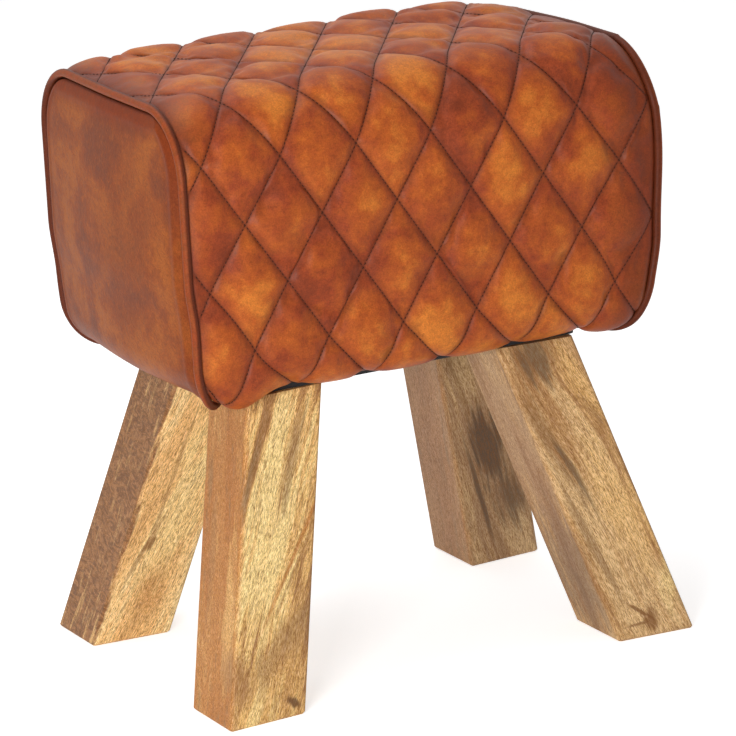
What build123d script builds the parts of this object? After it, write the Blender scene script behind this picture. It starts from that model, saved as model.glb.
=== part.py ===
from build123d import *
from math import ceil, comb, floor, pi, radians, sqrt, tan
import os

import numpy as np

os.makedirs("parts", exist_ok=True)

# A pommel-horse footstool: a quilted leather body on four splayed square mango-wood legs.
# Millimetres, +Z up, +X to the right, -Y to the front, origin on the floor under the middle.

# Driving dimensions
foot_spread_x = 400  # over the outer faces of the feet, left to right
foot_spread_y = 305  # over the outer corners of the feet, front to back
leg_height = 230
leg_side = 63
leg_splay_x = 14.8  # degrees the legs lean outward, seen from the front
leg_splay_y = 15.4  # degrees the legs lean outward, seen from the end
leg_edge = 3.5
leg_foot_chamfer = 1.6

body_length = 399  # over the piping of both ends
seam_depth = 247  # front to back across the end seams
seam_top = 457  # height of the end seams
top_round = 50
bottom_round = 26
top_crown = 8
side_crown = 4
crown_power = 4  # how late the crown falls away to the end seams
crown_fade = 12  # the same for the pillows
cover_thickness = 2.6  # leather, wadding and backing where they are sewn down

diamond_width = 62
diamond_half_height = 46.6  # along the wrap of the cover, half a diamond
pillow_rise = 5
first_row_drop = 39.5  # from the seam's top down the front to a row of crossings
pattern_shift = 5.7  # of that row's crossing nearest the middle
patch_degree = 4  # of the surface patches of diamonds and end panels

panel_thickness = 1.4
panel_crown = 7
piping_diameter = 6.5
piping_cord_diameter = 3.8
piping_bore_gap = 0.2
piping_turn_radius = 32.5  # where it turns under the body, close to the body's own round on the diagonal
piping_tail_length = 16
welt_flange = 9
welt_thickness = 1.6
soft_gap = 0.3

foam_top_thickness = 30
foam_side_thickness = 14
foam_end_thickness = 10
foam_end_inset = 13
foam_base_lift = 8

board = 12
leg_board_end_setback = 54.5  # from the body's ends
leg_board_side_setback = 40.5  # from its front and back
leg_board_corner = 6
cloth = 0.6
margin_gap = 1
board_round = 11.5
end_round_share = 0.85
corner_block = 24

bolt_radius = 5
bolt_core_radius = 4.4
bolt_tip = 8
bolt_embed = 45
bolt_above_nut = 4
bolt_gap = 0.25
nut_barrel_radius = 6.5
nut_flange_radius = 13
nut_flange = 1.6
nut_barrel_short = 1  # of the board's far face
prong_count = 4
prong_width = 4
prong_thickness = 1.4
prong_length = 8
prong_circle = 10.5

screw_radius = 2
screw_head_radius = 4
screw_head_angle = 90
screw_tip = 4
screw_gap = 0.2
screw_length = 35
short_screw_length = 20
overrun = 20

# Levels and half sizes that follow
leg_board_length = body_length - 2 * leg_board_end_setback
leg_board_depth = seam_depth - 2 * leg_board_side_setback
leg_board_bottom = leg_height + cloth
carcass_bottom = leg_board_bottom + board
cover_underside = carcass_bottom - cover_thickness
seam_half_depth = seam_depth / 2
piping_radius = piping_diameter / 2
piping_x = body_length / 2 - piping_radius
piping_inset = cover_thickness / 2
piping_y = seam_half_depth - piping_inset
piping_clearance = piping_radius + soft_gap
piping_low = carcass_bottom - piping_clearance
cover_end = piping_x - piping_clearance
panel_x = piping_x + panel_thickness / 2
mitre = piping_x - piping_y
cover_mitre = mitre - sqrt(2) * piping_clearance
panel_mitre = mitre + sqrt(2) * piping_clearance
panel_inset = seam_half_depth - (panel_x - panel_mitre)
margin_half_depth = leg_board_depth / 2 + cloth + margin_gap
margin_half_length = leg_board_length / 2 + cloth + margin_gap
foam_inset = cover_thickness + soft_gap
carcass_half_depth = seam_half_depth - foam_inset - foam_side_thickness
carcass_half_length = panel_x - panel_thickness - soft_gap - foam_end_thickness
carcass_top = seam_top - foam_inset - foam_top_thickness
wall_bottom = carcass_bottom + board
wall_top = carcass_top - board
wall_height = wall_top - wall_bottom
wall_middle = (wall_bottom + wall_top) / 2
turn_height = cover_underside + bottom_round
piping_turn_height = piping_low + piping_turn_radius


def end_plane(x):
    """A sketch plane across the body, where sketches read as (y, z)."""
    return Plane.YZ.offset(x)


def wrap_corners(inset, margin):
    """The corners that the cover turns round, from its front margin over the top to the back one."""
    half = seam_half_depth - inset
    low = cover_underside + inset
    high = seam_top - inset
    return [(-margin, low), (-half, low), (-half, high), (half, high), (half, low), (margin, low)]


def wrap_radii(inset):
    return [bottom_round - inset, top_round - inset, top_round - inset, bottom_round - inset]


def wrap_section(inset):
    """The body's section inside its cover, at the cover's left end."""
    with BuildSketch(end_plane(-cover_end)) as section:
        with BuildLine():
            wrap = FilletPolyline(*wrap_corners(inset, margin_half_depth), radius=wrap_radii(inset))
            Line(wrap @ 1, wrap @ 0)
        make_face()
    return section.sketch


def end_outline(inset, low, x, length):
    """A block across the body's end with its rounded top corners, straight down to a level."""
    half = seam_half_depth - inset
    high = seam_top - inset
    with BuildPart() as outline:
        with BuildSketch(end_plane(x)) as face:
            with Locations((0, (low + high) / 2)):
                Rectangle(2 * half, high - low)
            fillet(face.vertices().group_by(Axis.Z)[-1], top_round - inset)
        extrude(amount=length)
    return outline.part


def end_zone(apex, low, high):
    """What lies outside the 45 degree mitres of the right end, a wedge in plan."""
    reach = seam_half_depth + overrun
    with BuildPart() as wedge:
        with BuildSketch(Plane.XY.offset(low)):
            with BuildLine():
                Polyline((apex, 0), (apex + reach, reach), (apex + reach, -reach), close=True)
            make_face()
        extrude(amount=high - low)
    return wedge.part


# The line that the cover wraps along, and the length along it to the front's highest crossings
with BuildLine(Plane.YZ) as wrap_line:
    FilletPolyline(*wrap_corners(0, margin_half_depth), radius=wrap_radii(0))
cover_wrap = wrap_line.wire()
wrap_length = cover_wrap.length
front_margin = seam_half_depth - bottom_round - margin_half_depth
front_row = front_margin + bottom_round * pi / 2 + seam_top - first_row_drop - turn_height

# Rows and columns that turn a square of sampled points into a surface patch's control points
sample_shares = [step / patch_degree for step in range(patch_degree + 1)]
bernstein = [
    [comb(patch_degree, i) * t**i * (1 - t) ** (patch_degree - i) for i in range(patch_degree + 1)]
    for t in sample_shares
]
to_control = np.linalg.inv(np.array(bernstein))


def quilt_point(x, along, puff):
    """A point of the cover's outside: the crowned wrap, and a share of the pillow's rise on it.

    The wrap runs on straight past both margins, because the last diamonds are cut off there.
    """
    on_wrap = min(max(along, 0), wrap_length)
    heading = cover_wrap.tangent_at(on_wrap, position_mode=PositionMode.LENGTH)
    place = cover_wrap.position_at(on_wrap, position_mode=PositionMode.LENGTH)
    place += heading * (along - on_wrap)
    outward = Vector(0, -heading.Z, heading.Y)
    end_share = min(abs(x) / cover_end, 1)
    crown = top_crown * max(outward.Z, 0) ** 2 + side_crown * outward.Y**2
    lift = crown * (1 - end_share**crown_power)
    lift += pillow_rise * puff * (1 - end_share**crown_fade)
    return Vector(x, 0, 0) + place + outward * lift


def surface_patch(point_at):
    """A smooth patch through a square of points, where point_at takes two shares of its sides."""
    samples = np.array([[tuple(point_at(u, v)) for v in sample_shares] for u in sample_shares])
    control = np.einsum("ai,ijk,bj->abk", to_control, samples, to_control)
    return Face.make_bezier_surface([[Vector(*point) for point in row] for row in control])


def diamond_patch(middle_x, middle_along):
    """One diamond of the quilting, which shares its edges with the diamonds beside it."""

    def pillow_point(u, v):
        x = middle_x + (u - v) * diamond_width / 2
        along = middle_along + (u + v - 1) * diamond_half_height
        puff = (1 - (2 * u - 1) ** 2) * (1 - (2 * v - 1) ** 2)
        return quilt_point(x, along, puff)

    return surface_patch(pillow_point)


def quilt_patches():
    """All diamonds that the cover needs, row by row round the wrap."""
    patches = []
    first_row = floor(-front_row / diamond_half_height)
    last_row = ceil((wrap_length - front_row) / diamond_half_height)
    half_count = int(cover_end / diamond_width) + 2
    for row in range(first_row, last_row + 1):
        stagger = diamond_width / 2 * ((row + 1) % 2)
        for column in range(-half_count, half_count + 1):
            middle_x = pattern_shift + stagger + column * diamond_width
            if abs(middle_x) < cover_end + diamond_width / 2:
                patches.append(diamond_patch(middle_x, front_row + row * diamond_half_height))
    return patches


# Quilted cover: a plain band over front, top and back, cut to its quilted outside
with BuildPart() as cover_blank:
    extrude(wrap_section(-overrun), amount=2 * cover_end)
    extrude(wrap_section(cover_thickness), amount=2 * cover_end, mode=Mode.SUBTRACT)
    with Locations((0, 0, cover_underside)):
        Box(2 * body_length, 2 * margin_half_depth, 2 * (overrun + cover_thickness), mode=Mode.SUBTRACT)
    cover_wedge = end_zone(cover_mitre, cover_underside - 2 * overrun, piping_turn_height)
    add(cover_wedge, mode=Mode.SUBTRACT)
    add(cover_wedge.mirror(Plane.YZ), mode=Mode.SUBTRACT)
quilt_skin = Shell(quilt_patches())
cover_pieces = cover_blank.part.solid().split(quilt_skin, keep=Keep.ALL)
with BuildPart() as quilted_cover:
    add(ShapeList(cover_pieces).sort_by(SortBy.VOLUME)[0])
quilted_cover.part.label = "quilted_cover"
export_step(quilted_cover.part, "parts/quilted_cover.step")

def panel_skin(inset):
    """The right end's crowned surface, from under the body up past its top seam.

    The crown grows between the margin under the body and the top seam, and the surface runs on
    straight past both, because the blanks that it cuts end there.
    """
    side = panel_x - inset
    low = cover_underside + inset
    run_in = margin_half_length - overrun
    with BuildLine(Plane.XZ) as line:
        FilletPolyline((run_in, low), (side, low), (side, seam_top + overrun), radius=bottom_round - inset)
    profile = line.wire()
    crown_length = profile.length - 2 * overrun
    patches = []
    reached = 0
    for stretch in profile.edges():

        def crowned_point(u, v, start=reached, length=stretch.length):
            along = start + u * length
            place = profile.position_at(along, position_mode=PositionMode.LENGTH)
            heading = profile.tangent_at(along, position_mode=PositionMode.LENGTH)
            outward = Vector(heading.Z, 0, -heading.X)
            y = (2 * v - 1) * seam_depth
            crown_share = min(max(along - overrun, 0) / crown_length, 1)
            lift = panel_crown * (1 - (y / seam_half_depth) ** 2) * (1 - (2 * crown_share - 1) ** 2)
            return place + Vector(0, y, 0) + outward * lift

        patches.append(surface_patch(crowned_point))
        reached += stretch.length
    return Shell(patches)


def inner_side(blank, inset):
    """What is left of a block at the right end inside its crowned surface."""
    pieces = blank.solid().split(panel_skin(inset), keep=Keep.ALL)
    return ShapeList(pieces).sort_by(Axis.X)[0]


# End panels: plain leather, crowned, that roll under the body between the mitres
with BuildPart() as panel_blank:
    panel_low = cover_underside - overrun
    add(end_outline(panel_inset, panel_low, margin_half_length, body_length / 2))
    add(end_zone(panel_mitre, panel_low, seam_top), mode=Mode.INTERSECT)
with BuildPart() as right_panel:
    add(inner_side(panel_blank.part, 0))
    add(inner_side(panel_blank.part, panel_thickness), mode=Mode.SUBTRACT)


def piping_path():
    """The piping's middle line round the right end, turned under the body along both mitres."""
    low = piping_low
    high = seam_top - piping_inset
    tail = piping_turn_radius + piping_tail_length
    in_x = piping_x - tail / sqrt(2)
    in_y = piping_y - tail / sqrt(2)
    corners = [
        (in_x, -in_y, low),
        (piping_x, -piping_y, low),
        (piping_x, -piping_y, high),
        (piping_x, piping_y, high),
        (piping_x, piping_y, low),
        (in_x, in_y, low),
    ]
    upper_bend = top_round - piping_inset
    with BuildLine() as path:
        FilletPolyline(*corners, radius=[piping_turn_radius, upper_bend, upper_bend, piping_turn_radius])
    return path.wire()


def tube(path, radius):
    start = Plane(origin=path @ 0, z_dir=path % 0)
    with BuildPart() as swept:
        with BuildSketch(start):
            Circle(radius)
        sweep(path=path)
    return swept.part


# Piping: leather rolled round a cord, with the flange that is caught in the seam
piping_route = piping_path()
with BuildPart() as right_piping:
    flange_x = panel_x - panel_thickness - soft_gap - welt_thickness
    add(end_outline(piping_inset, turn_height, flange_x, welt_thickness))
    flange_opening = end_outline(
        piping_inset + welt_flange, turn_height - overrun, flange_x - overrun, welt_thickness + 2 * overrun
    )
    add(flange_opening, mode=Mode.SUBTRACT)
    add(tube(piping_route, piping_radius))
    add(tube(piping_route, piping_cord_diameter / 2 + piping_bore_gap), mode=Mode.SUBTRACT)
with BuildPart() as right_cord:
    add(tube(piping_route, piping_cord_diameter / 2))

for piece, name in ((right_panel, "end_panel"), (right_piping, "piping"), (right_cord, "piping_cord")):
    for side in ("right", "left"):
        shape = piece.part if side == "right" else piece.part.mirror(Plane.YZ)
        shape.label = f"{name}_{side}"
        export_step(shape, f"parts/{name}_{side}.step")

# Foam: one slab over the top, a pad on each long side and a crowned pad at each end
with BuildPart() as foam_block:
    extrude(wrap_section(foam_inset), amount=2 * cover_end)
    with Locations((0, 0, carcass_bottom + foam_base_lift)):
        Box(
            2 * carcass_half_length, seam_depth, seam_top,
            align=(Align.CENTER, Align.CENTER, Align.MIN), mode=Mode.INTERSECT,
        )
with BuildPart() as foam_top:
    add(foam_block.part)
    split(bisect_by=Plane.XY.offset(carcass_top), keep=Keep.TOP)
foam_top.part.label = "foam_top"
export_step(foam_top.part, "parts/foam_top.step")
with BuildPart() as foam_front:
    add(foam_block.part)
    split(bisect_by=Plane.XY.offset(carcass_top), keep=Keep.BOTTOM)
    split(bisect_by=Plane.XZ.offset(carcass_half_depth), keep=Keep.TOP)
foam_front.part.label = "foam_front"
export_step(foam_front.part, "parts/foam_front.step")
foam_back = foam_front.part.mirror(Plane.XZ)
foam_back.label = "foam_back"
export_step(foam_back, "parts/foam_back.step")

foam_low = carcass_bottom + foam_base_lift
end_foam_blank = end_outline(foam_end_inset, foam_low, carcass_half_length, body_length / 2)
with BuildPart() as right_end_foam:
    add(inner_side(end_foam_blank, panel_thickness + soft_gap))
for side in ("right", "left"):
    shape = right_end_foam.part if side == "right" else right_end_foam.part.mirror(Plane.YZ)
    shape.label = f"foam_end_{side}"
    export_step(shape, f"parts/foam_end_{side}.step")

inner_half_depth = carcass_half_depth - board
block_x = carcass_half_length - board - corner_block / 2
block_y = inner_half_depth - corner_block / 2

# Where the screws go, each with +Z out of its head
top_screw_y = carcass_half_depth - board / 2
end_screw_x = carcass_half_length - board / 2
screw_x_shares = (-0.7, 0.25, 0.7)
top_screws_at = [
    Location((share * carcass_half_length, side * top_screw_y, carcass_top))
    for share in screw_x_shares
    for side in (-1, 1)
]
bottom_screws_at = [
    Location((x, side * y, carcass_bottom), (180, 0, 0))
    for x, y in ((-block_x, block_y), (0, block_y), (block_x, block_y))
    for side in (-1, 1)
]
end_height_shares = (0.2, 0.8)
front_screws_at = [
    Location((side * end_screw_x, -carcass_half_depth, wall_bottom + share * wall_height), (90, 0, 0))
    for share in end_height_shares
    for side in (-1, 1)
]
back_screws_at = [
    Location((side * end_screw_x, carcass_half_depth, wall_bottom + share * wall_height), (-90, 0, 0))
    for share in end_height_shares
    for side in (-1, 1)
]
leg_board_screw_y = leg_board_depth / 2 - board
leg_board_screw_shares = (-0.3, 0.3)
leg_board_screws_at = [
    Location((share * leg_board_length / 2, side * leg_board_screw_y, leg_height), (180, 0, 0))
    for share in leg_board_screw_shares
    for side in (-1, 1)
]

# Where the legs stand: the lean of each, and the middle of its foot and of its top
lean_x = tan(radians(leg_splay_x))
lean_y = tan(radians(leg_splay_y))
side_reach = leg_side / 2 * sqrt(1 + lean_x**2)
face_skew = lean_x * lean_y / (1 + lean_x**2)
face_reach = leg_side / 2 * sqrt((lean_x * lean_y) ** 2 + (1 + lean_x**2) ** 2 + lean_y**2) / (1 + lean_x**2)
foot_x = foot_spread_x / 2 - side_reach
foot_y = foot_spread_y / 2 - face_reach - face_skew * side_reach
leg_top_x = foot_x - lean_x * leg_height
leg_top_y = foot_y - lean_y * leg_height
bolts_at = [
    (side_x * leg_top_x, side_y * leg_top_y)
    for side_x in (-1, 1)
    for side_y in (-1, 1)
]
nut_level = wall_bottom


def clearance_holes(places, depth, radius=screw_radius + screw_gap):
    """Plain round holes into the part being built, one at each place."""
    with Locations(*places):
        Hole(radius, depth=depth)


def screw_holes(places, depth):
    """Countersunk holes that the screws pass through, head side at each place."""
    with Locations(*places):
        CounterSinkHole(
            radius=screw_radius + screw_gap,
            counter_sink_radius=screw_head_radius + screw_gap,
            depth=depth,
            counter_sink_angle=screw_head_angle,
        )


def bolt_holes(level, radius, depth):
    """Upright holes from a level downward at the four leg bolts."""
    with Locations(*[(x, y, level) for x, y in bolts_at]):
        Hole(radius, depth=depth)


# Carcass: six boards, a rib and corner blocks
with BuildPart() as bottom_board:
    with Locations((0, 0, carcass_bottom + board / 2)):
        Box(2 * carcass_half_length, 2 * carcass_half_depth, board)
    low_edges = bottom_board.edges().group_by(Axis.Z)[0]
    fillet(low_edges.filter_by(Axis.X), board_round * end_round_share)
    fillet(bottom_board.edges().group_by(Axis.Z)[0].filter_by(Axis.Y), board_round)
    screw_holes(bottom_screws_at, board)
    clearance_holes(leg_board_screws_at, board + short_screw_length)
    bolt_holes(wall_bottom, nut_barrel_radius + bolt_gap, board)
    with BuildSketch(Plane.XY.offset(wall_bottom)):
        with Locations(*bolts_at):
            with PolarLocations(prong_circle, prong_count):
                Rectangle(prong_thickness + 2 * bolt_gap, prong_width + 2 * bolt_gap)
    extrude(amount=-prong_length - bolt_gap, mode=Mode.SUBTRACT)
bottom_board.part.label = "bottom_board"
export_step(bottom_board.part, "parts/bottom_board.step")

with BuildPart() as top_board:
    with Locations((0, 0, carcass_top - board / 2)):
        Box(2 * carcass_half_length, 2 * carcass_half_depth, board)
    screw_holes(top_screws_at, board)
top_board.part.label = "top_board"
export_step(top_board.part, "parts/top_board.step")

for side, name, end_places in ((-1, "front_board", front_screws_at), (1, "back_board", back_screws_at)):
    with BuildPart() as long_board:
        with Locations((0, side * (carcass_half_depth - board / 2), wall_middle)):
            Box(2 * carcass_half_length, board, wall_height)
        clearance_holes(top_screws_at, screw_length)
        screw_holes(end_places, board)
    long_board.part.label = name
    export_step(long_board.part, f"parts/{name}.step")

for side, name in ((-1, "end_board_left"), (1, "end_board_right")):
    with BuildPart() as end_board:
        with Locations((side * (carcass_half_length - board / 2), 0, wall_middle)):
            Box(board, 2 * inner_half_depth, wall_height)
        clearance_holes(front_screws_at + back_screws_at, screw_length)
    end_board.part.label = name
    export_step(end_board.part, f"parts/{name}.step")

with BuildPart() as centre_rib:
    with Locations((0, 0, wall_middle)):
        Box(board, 2 * inner_half_depth, wall_height)
    clearance_holes(bottom_screws_at, screw_length)
centre_rib.part.label = "centre_rib"
export_step(centre_rib.part, "parts/centre_rib.step")

with BuildPart() as corner_blocks:
    with Locations((0, 0, wall_middle)):
        with GridLocations(2 * block_x, 2 * block_y, 2, 2):
            Box(corner_block, corner_block, wall_height)
    clearance_holes(bottom_screws_at, screw_length)
    clearance_holes(front_screws_at + back_screws_at, screw_length)
corner_blocks.part.label = "corner_blocks"
export_step(corner_blocks.part, "parts/corner_blocks.step")

# Leg board: the legs bolt to it, and black cloth is wrapped round its edges and underside
with BuildPart() as leg_board:
    with BuildSketch(Plane.XY.offset(leg_board_bottom)):
        RectangleRounded(leg_board_length, leg_board_depth, leg_board_corner)
    extrude(amount=board)
    bolt_holes(carcass_bottom, bolt_radius + bolt_gap, board)
    screw_holes(leg_board_screws_at, board + cloth)
leg_board.part.label = "leg_board"
export_step(leg_board.part, "parts/leg_board.step")

with BuildPart() as dust_cover:
    with BuildSketch(Plane.XY.offset(leg_height)):
        RectangleRounded(leg_board_length + 2 * cloth, leg_board_depth + 2 * cloth, leg_board_corner + cloth)
    extrude(amount=board + cloth)
    with BuildSketch(Plane.XY.offset(leg_board_bottom)):
        RectangleRounded(leg_board_length, leg_board_depth, leg_board_corner)
    extrude(amount=board, mode=Mode.SUBTRACT)
    bolt_holes(leg_board_bottom, bolt_radius + bolt_gap, cloth)
    screw_holes(leg_board_screws_at, cloth)
dust_cover.part.label = "dust_cover"
export_step(dust_cover.part, "parts/dust_cover.step")


# Legs: square timber that leans both ways, cut level at the floor and at the top
for side_x, along_name in ((-1, "left"), (1, "right")):
    for side_y, across_name in ((-1, "front"), (1, "back")):
        lean = Vector(-side_x * lean_x, -side_y * lean_y, 1)
        timber = Plane(
            origin=(side_x * foot_x, side_y * foot_y, 0),
            x_dir=lean.cross(Vector(0, 1, 0)),
            z_dir=lean,
        )
        with BuildPart() as leg:
            with BuildSketch(timber.offset(-leg_side)):
                RectangleRounded(leg_side, leg_side, leg_edge)
            extrude(amount=leg_height + 3 * leg_side)
            split(bisect_by=Plane.XY, keep=Keep.TOP)
            split(bisect_by=Plane.XY.offset(leg_height), keep=Keep.BOTTOM)
            chamfer(leg.edges().group_by(Axis.Z)[0], leg_foot_chamfer)
            with Locations((side_x * leg_top_x, side_y * leg_top_y, leg_height)):
                Hole(bolt_radius + bolt_gap, depth=bolt_embed + bolt_gap)
        leg.part.label = f"leg_{across_name}_{along_name}"
        export_step(leg.part, f"parts/leg_{across_name}_{along_name}.step")

# Leg fixings: a hanger bolt in each leg and the tee nut that it screws into
bolt_top = nut_level + nut_flange + bolt_above_nut
with BuildPart() as hanger_bolt:
    with BuildSketch(Plane.XZ):
        with BuildLine():
            Polyline(
                (0, leg_height - bolt_embed),
                (bolt_core_radius, leg_height - bolt_embed + bolt_tip),
                (bolt_core_radius, leg_height),
                (bolt_radius, leg_height),
                (bolt_radius, bolt_top),
                (0, bolt_top),
                close=True,
            )
        make_face()
    revolve(axis=Axis.Z)
with BuildPart() as hanger_bolts:
    with Locations(*bolts_at):
        add(hanger_bolt.part)
hanger_bolts.part.label = "hanger_bolts"
export_step(hanger_bolts.part, "parts/hanger_bolts.step")

with BuildPart() as tee_nut:
    with BuildSketch(Plane.XY.offset(nut_level)):
        Circle(nut_flange_radius)
    extrude(amount=nut_flange)
    with BuildSketch(Plane.XY.offset(nut_level)):
        Circle(nut_barrel_radius)
    extrude(amount=nut_barrel_short - board)
    with BuildSketch(Plane.XY.offset(nut_level)):
        with PolarLocations(prong_circle, prong_count):
            Rectangle(prong_thickness, prong_width)
    extrude(amount=-prong_length)
    with Locations((0, 0, nut_level + nut_flange)):
        Hole(bolt_radius + bolt_gap, depth=board + nut_flange)
with BuildPart() as tee_nuts:
    with Locations(*bolts_at):
        add(tee_nut.part)
tee_nuts.part.label = "tee_nuts"
export_step(tee_nuts.part, "parts/tee_nuts.step")


def wood_screw(length):
    """A countersunk screw along -Z with its head's face at the origin."""
    with BuildPart() as screw:
        with BuildSketch(Plane.XZ):
            with BuildLine():
                Polyline(
                    (0, 0),
                    (screw_head_radius, 0),
                    (screw_radius, screw_radius - screw_head_radius),
                    (screw_radius, screw_tip - length),
                    (0, -length),
                    close=True,
                )
            make_face()
        revolve(axis=Axis.Z)
    return screw.part


long_screw = wood_screw(screw_length - screw_gap)
short_screw = wood_screw(short_screw_length)
for name, places, screw in (
    ("top_board_screws", top_screws_at, long_screw),
    ("bottom_board_screws", bottom_screws_at, long_screw),
    ("end_board_screws", front_screws_at + back_screws_at, long_screw),
    ("leg_board_screws", leg_board_screws_at, short_screw),
):
    with BuildPart() as screws:
        with Locations(*places):
            add(screw)
    screws.part.label = name
    export_step(screws.part, f"parts/{name}.step")
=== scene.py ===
import math

import bpy
import numpy as np
from mathutils import Matrix, Vector


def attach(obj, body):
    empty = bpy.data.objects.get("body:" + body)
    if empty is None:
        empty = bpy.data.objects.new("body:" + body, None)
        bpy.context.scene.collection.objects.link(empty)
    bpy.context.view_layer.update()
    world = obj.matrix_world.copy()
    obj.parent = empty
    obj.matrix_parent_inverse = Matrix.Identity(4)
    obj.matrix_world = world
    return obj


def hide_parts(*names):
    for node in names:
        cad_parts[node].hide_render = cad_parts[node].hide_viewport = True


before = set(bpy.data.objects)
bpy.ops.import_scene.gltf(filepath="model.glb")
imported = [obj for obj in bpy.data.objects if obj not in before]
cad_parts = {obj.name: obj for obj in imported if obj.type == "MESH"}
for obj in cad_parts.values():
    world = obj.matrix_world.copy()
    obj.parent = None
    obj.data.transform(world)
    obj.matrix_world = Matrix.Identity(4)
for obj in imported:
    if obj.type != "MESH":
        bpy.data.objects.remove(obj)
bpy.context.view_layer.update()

# A pommel-horse footstool. Lengths are millimetres here, in the frame of the CAD part,
# and become metres where a mesh is made.
MM = 0.001

# Body, as in the CAD part
body_length = 399
seam_depth = 247
seam_top = 457
cover_underside = 240
top_round = 50
bottom_round = 26
top_crown = 7.5
side_crown = 4
crown_power = 4
pillow_fade = 30
cover_thickness = 2.6
diamond_width = 62
diamond_half_height = 46.6
first_row_drop = 39.5
pattern_shift = 5.7
panel_thickness = 1.4
panel_crown = 7
piping_radius = 3.25
cord_radius = 1.9
piping_turn_radius = 32.5
piping_tail_length = 16
soft_gap = 0.3
leg_board_length = 290
leg_board_depth = 166
leg_board_corner = 6
board = 12
cloth = 0.6
margin_gap = 1
foot_spread_x = 400
foot_spread_y = 305
leg_height = 230
leg_side = 63
leg_splay_x = 14.8
leg_splay_y = 15.4

leg_board_bottom = leg_height + cloth
carcass_bottom = leg_board_bottom + board
half_depth = seam_depth / 2
diamond_side = math.hypot(diamond_width / 2, diamond_half_height)
piping_x = body_length / 2 - piping_radius
piping_inset = cover_thickness / 2
piping_y = half_depth - piping_inset
piping_clearance = piping_radius + soft_gap
cover_end = piping_x - piping_clearance
panel_x = piping_x + panel_thickness / 2
mitre = piping_x - piping_y
cover_mitre = mitre - math.sqrt(2) * piping_clearance
panel_mitre = mitre + math.sqrt(2) * piping_clearance
panel_inset = half_depth - (panel_x - panel_mitre)
margin_half_depth = leg_board_depth / 2 + cloth + margin_gap
margin_half_length = leg_board_length / 2 + cloth + margin_gap
piping_low = carcass_bottom - piping_clearance
piping_turn_height = piping_low + piping_turn_radius

# How full the leather is, and how finely a diamond's mesh is divided
pillow_rise = 3.2
pillow_power = 2.2
pillow_sharpness = 0.75
end_tuck = 1.6
end_tuck_reach = 2.2
right_bulge = 3
right_bulge_rise = 5
right_bulge_reach = 40
diamond_steps = 14
step_crowding = 0.5

# The cover's cloth run: it is held along its seams and edges and pressed outward by the padding,
# with a little more leather in each diamond than its seams span. It starts as a low relief.
press_frames = 20
press_force = 20
press_mass = 0.01
press_damping = 0.02
press_slack = 0.06
least_slack_share = 0.2
press_bending = 0.01
press_cap = 4
press_hold = 3.5
press_start_share = 0.4
press_uneven_share = 0.1
seam_sink = 2.2
seam_sink_reach = 4

# How the stuffed body of this one stool has settled: its right end swells, draws in below and
# falls at its top, its lower left corner hangs, its underside sags and its back corner draws in
end_calm = 90
end_reach = 100
right_swell = 4.6
right_swell_height = 378
right_swell_spread = 48
right_draw = 9
right_draw_top = 310
right_draw_spread = 60
left_swell = 0.8
left_draw = 3.2
left_draw_top = 335
left_draw_spread = 40
droop_x = 157
droop_y = 112
droop_reach = 36
droop_fall = 12
droop_top = 290
droop_spread = 50
sag_fall = 3
right_sag = 4.5
right_sag_start = 120
right_sag_spread = 60
sag_length = 150
sag_top = 270
sag_spread = 30
back_draw = 3.5
back_low_draw = 0.8
back_start = -20
back_spread = 120
back_low_top = 285
back_corner_draw = 5
back_corner_from = 60
back_corner_reach = 60
back_corner_top = 310
back_corner_spread = 60
back_top_fall = 3.5
right_top_fall = 4.5
right_top_start = 385
right_top_spread = 72
right_top_from = 142
right_top_reach = 54
right_corner_draw = 3.5
left_top_fill = 2.6
left_top_middle = -160
left_top_spread = 30

# The end panels' edge, which stands up steeply from the piping
panel_edge_rise = 3
panel_edge_reach = 7
panel_roll_draw = 1.2
panel_roll_reach = 20
panel_tuck = 1.2
panel_tuck_reach = 1.4
panel_lip = 0.8
panel_lip_place = 8
panel_lip_spread = 3.2

# How the end panels' meshes, the piping's and the dust cover's are divided, how wide the piping's
# sewn flange is, and how far the dust cover's edge stays off the body
panel_rows = 130
panel_corner_rows = 40
panel_columns = 130
panel_crowding_share = 0.9
piping_step = 2
piping_sides = 20
piping_flange = 7
sheet_corner_steps = 8
sheet_rings = 14
sheet_edge_rings = 6
sheet_clearance = 0.2

# The front's lowest row of stitching was pulled a little to the right and up
pulled_row = -3
pulled_shift = 8
pulled_lift = 4

# Where the leather is rubbed golden within a diamond, and the diamonds that stayed dark or dull
# or are rubbed most, each with its tone and its share of the rubbing
rub_middle_share = 0.47
rub_wander_share = 0.22
rub_spread_share = 0.42
rub_fade_share = 0.5
dark_diamonds = ((-3, 0), (2, -3), (0, -5))
dull_diamonds = ((-4, 2), (-3, 2), (1, -4), (1, -3), (0, -4))
bright_diamonds = ((-2, -2), (0, -2), (-4, 1))
diamond_looks = ((dark_diamonds, 1.2, 0.3), (dull_diamonds, 0.5, 0.6), (bright_diamonds, -0.8, 1))

# How far the leather is darkened beside its seams (its darker tone there, partly painted shade on
# the pillows' slopes), towards its ends (burnished leather, partly painted shade) and in its crevices
# (painted shade), and by how much a ragged edge of the dark wanders
crevice = 0.2
seam_crease = 1.6
seam_tone_and_shade_start = -0.5
seam_tone_and_shade_reach = 6
seam_wander = 18
end_dark = 2
end_light = 27
end_wander = 26
calm_left_end = 16
calm_top = 448
calm_spread = 40
# At the right end the darkening reaches twice as far: painted shade of that end
right_end_share = 0.5

# How far the painted shade of the crevice by the piping reaches onto the end panels, their burnished
# border, which is stronger at the top, and their plum cloud: its middle, its reach each way and its
# slant
rim_crease = 1.8
border_dark = 5
border_light = 22
border_wander = 14
border_low = 370
border_high = 435
side_border_share = 0.5
plum_centre = (0, -38, 350)
plum_size = (400, 42, 88)
plum_slant = -16

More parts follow.
